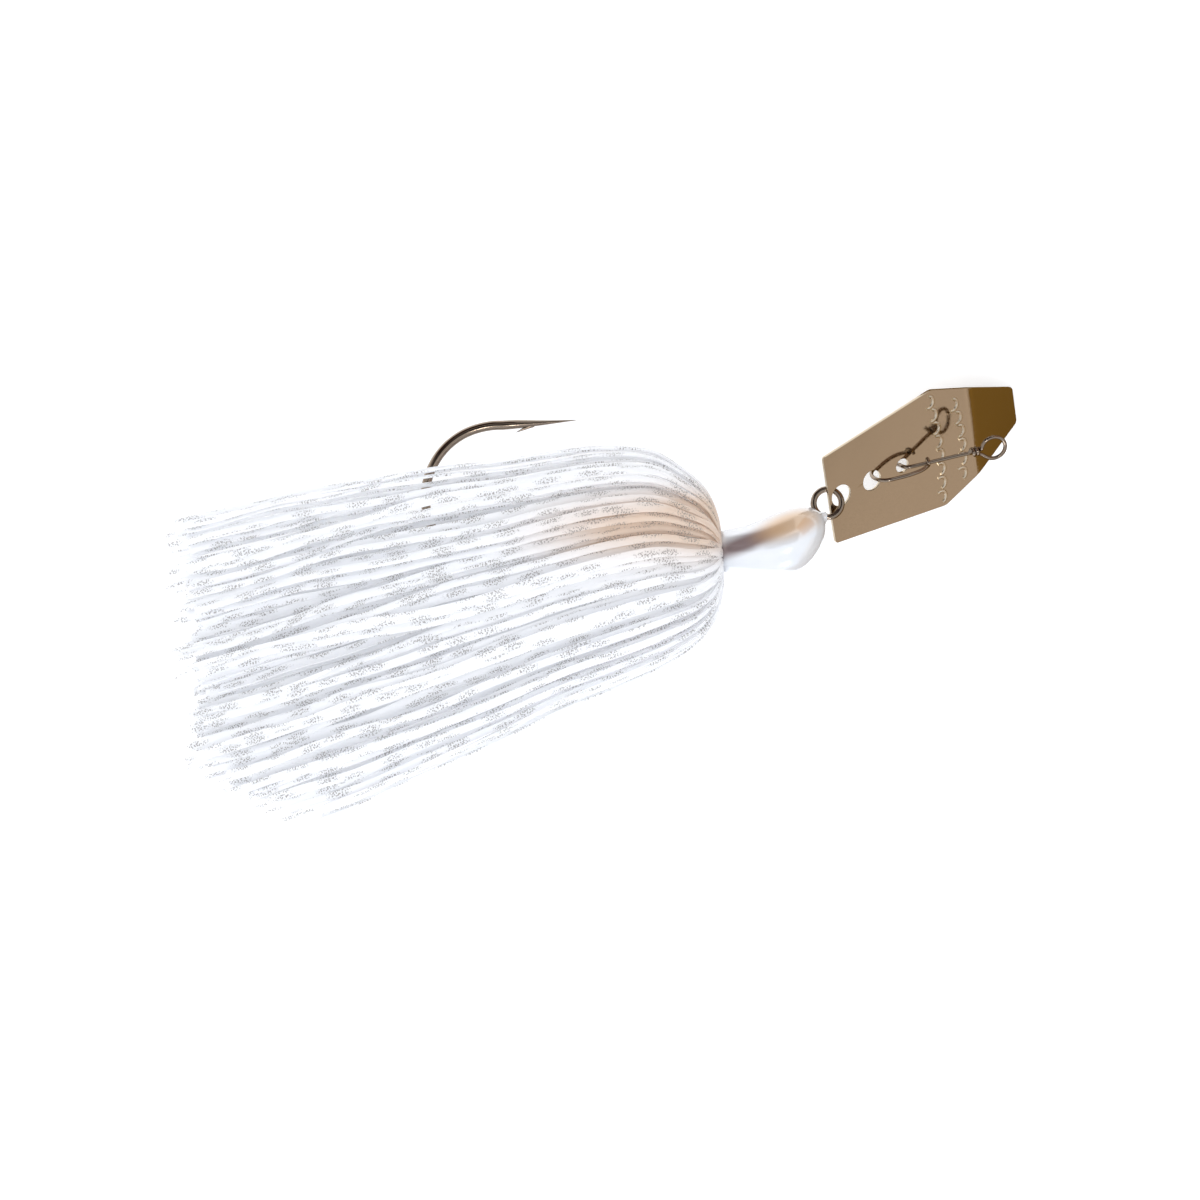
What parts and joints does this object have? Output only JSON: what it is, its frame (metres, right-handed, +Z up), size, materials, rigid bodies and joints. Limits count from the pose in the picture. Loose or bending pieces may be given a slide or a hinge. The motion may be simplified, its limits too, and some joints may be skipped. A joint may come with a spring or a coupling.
{
  "type": "bladed swim jig fishing lure",
  "caption": "Bladed swim jig lying on its side: jig hook with cast head, folded silicone skirt, hinged angled blade and wire snap.",
  "frame": {"origin": "bottom centre of the lure's box as it lies on its side, so the table is z = 0", "axes": "+X along the hook's shank from the skirt's tips towards the blade, +Y from the shank towards the hook's point, +Z up from the table, square to the hook's plane"},
  "size_m": [0.1324, 0.0593, 0.0342],
  "materials": {
    "black_nickel": "black nickel plate on forged steel wire, glossy",
    "white_paint": "glossy baked powder paint on cast lead",
    "collar_silicone": "moulded silicone, satin",
    "nickel_blade": "polished nickel plate, mirror",
    "snap_wire": "black nickel plated spring wire, glossy",
    "skirt_silicone": "clear-white cast silicone with dark flake, satin"
  },
  "bodies": {
    "root": {"hook": "black_nickel", "head": "white_paint", "collar_band": "collar_silicone", "skirt_strand_01": "skirt_silicone", "skirt_strand_02": "skirt_silicone", "skirt_strand_03": "skirt_silicone", "skirt_strand_04": "skirt_silicone", "skirt_strand_05": "skirt_silicone", "skirt_strand_06": "skirt_silicone", "skirt_strand_07": "skirt_silicone", "skirt_strand_08": "skirt_silicone", "skirt_strand_09": "skirt_silicone", "skirt_strand_10": "skirt_silicone", "skirt_strand_11": "skirt_silicone", "skirt_strand_12": "skirt_silicone", "skirt_strand_13": "skirt_silicone", "skirt_strand_14": "skirt_silicone", "skirt_strand_15": "skirt_silicone", "skirt_strand_16": "skirt_silicone", "skirt_strand_17": "skirt_silicone", "skirt_strand_18": "skirt_silicone", "skirt_strand_19": "skirt_silicone", "skirt_strand_20": "skirt_silicone", "skirt_strand_21": "skirt_silicone", "skirt_strand_22": "skirt_silicone", "skirt_strand_23": "skirt_silicone", "skirt_strand_24": "skirt_silicone", "skirt_strand_25": "skirt_silicone", "skirt_strand_26": "skirt_silicone", "skirt_strand_27": "skirt_silicone", "skirt_strand_28": "skirt_silicone", "skirt_strand_29": "skirt_silicone", "skirt_strand_30": "skirt_silicone", "skirt_strand_31": "skirt_silicone", "skirt_strand_32": "skirt_silicone", "skirt_strand_33": "skirt_silicone", "skirt_strand_34": "skirt_silicone", "skirt_strand_35": "skirt_silicone", "skirt_strand_36": "skirt_silicone", "skirt_strand_37": "skirt_silicone", "skirt_strand_38": "skirt_silicone", "skirt_strand_39": "skirt_silicone", "skirt_strand_40": "skirt_silicone", "skirt_strand_41": "skirt_silicone", "skirt_strand_42": "skirt_silicone"},
    "blade": {"blade": "nickel_blade"},
    "snap": {"snap_wire": "snap_wire"},
    "latch": {"snap_latch": "snap_wire"}
  },
  "joints": [
    {"name": "blade_swing", "type": "hinge", "parent": "root", "child": "blade", "pos_m": [0.0351, 0.013, 0.01742], "axis": [0, 0, 1], "range_deg": [-20, 90]},
    {"name": "snap_swing", "type": "hinge", "parent": "blade", "child": "snap", "pos_m": [0.04477, 0.01717, 0.01337], "axis": [0.0984, -0.855, -0.5093], "range_deg": [0, 105]},
    {"name": "latch_open", "type": "hinge", "parent": "snap", "child": "latch", "pos_m": [0.04604, 0.01609, 0.01543], "axis": [0.1529, -0.4927, 0.8567], "range_deg": [0, 25], "stiffness_Nm_per_rad": 0.002}
  ]
}
